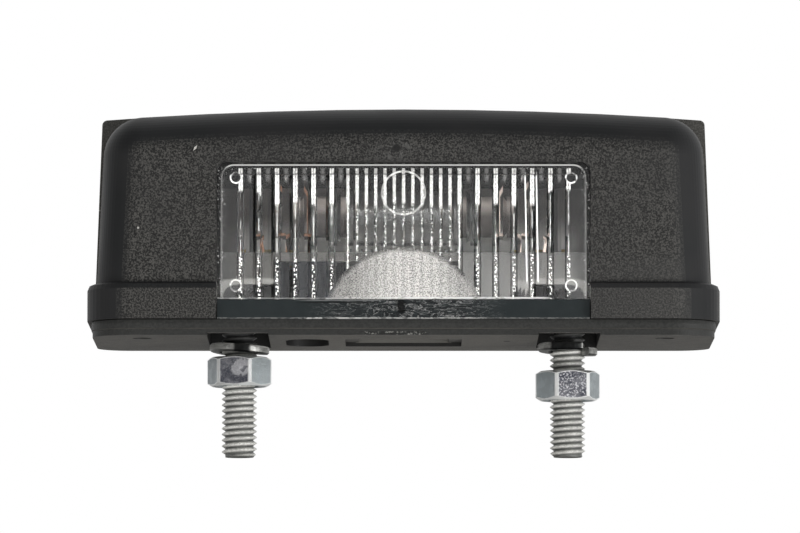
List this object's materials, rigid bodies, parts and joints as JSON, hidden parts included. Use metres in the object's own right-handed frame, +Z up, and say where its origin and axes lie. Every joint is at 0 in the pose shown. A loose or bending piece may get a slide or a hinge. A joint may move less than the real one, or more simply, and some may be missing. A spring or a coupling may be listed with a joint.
{
  "type": "number plate lamp",
  "caption": "Oblong number plate lamp: grained hood over a base with threaded studs, fluted clear lens in front, tubular bulb inside.",
  "frame": {"origin": "on the flat underside that seats on a bracket, midway between the two studs", "axes": "+X along the lamp to the right as seen from the lens side, +Y from the lens to the flat back, +Z up from the studs to the hood's top"},
  "size_m": [0.1072, 0.0394, 0.0613],
  "materials": {
    "hood_plastic": "fine moulded grain, brownish black",
    "base_plastic": "satin, bluish black",
    "lens_clear": "clear moulded plastic, fluted behind",
    "seal_rubber": "soft black",
    "carrier_grey": "satin light grey",
    "spring_copper": "copper coloured strip",
    "rivet_brass": "plain",
    "bulb_glass": "clear",
    "cap_metal": "nickel plated",
    "filament_wire": "drawn wire",
    "zinc_steel": "bright zinc plating",
    "screw_steel": "plain zinc plating"
  },
  "bodies": {
    "root": {"base": "base_plastic", "hood": "hood_plastic", "lens": "lens_clear", "lens_seal": "seal_rubber", "bulb_carrier": "carrier_grey", "contact_left": "spring_copper", "contact_right": "spring_copper", "rivet_left": "rivet_brass", "rivet_right": "rivet_brass", "bulb_glass": "bulb_glass", "bulb_cap_left": "cap_metal", "bulb_cap_right": "cap_metal", "bulb_filament": "filament_wire", "bolt_left": "zinc_steel", "bolt_right": "zinc_steel", "spring_washer_left": "zinc_steel", "spring_washer_right": "zinc_steel", "nut_left": "zinc_steel", "nut_right": "zinc_steel", "hood_screw_left": "screw_steel", "hood_screw_right": "screw_steel", "carrier_screw_left": "screw_steel", "carrier_screw_right": "screw_steel"}
  },
  "joints": []
}
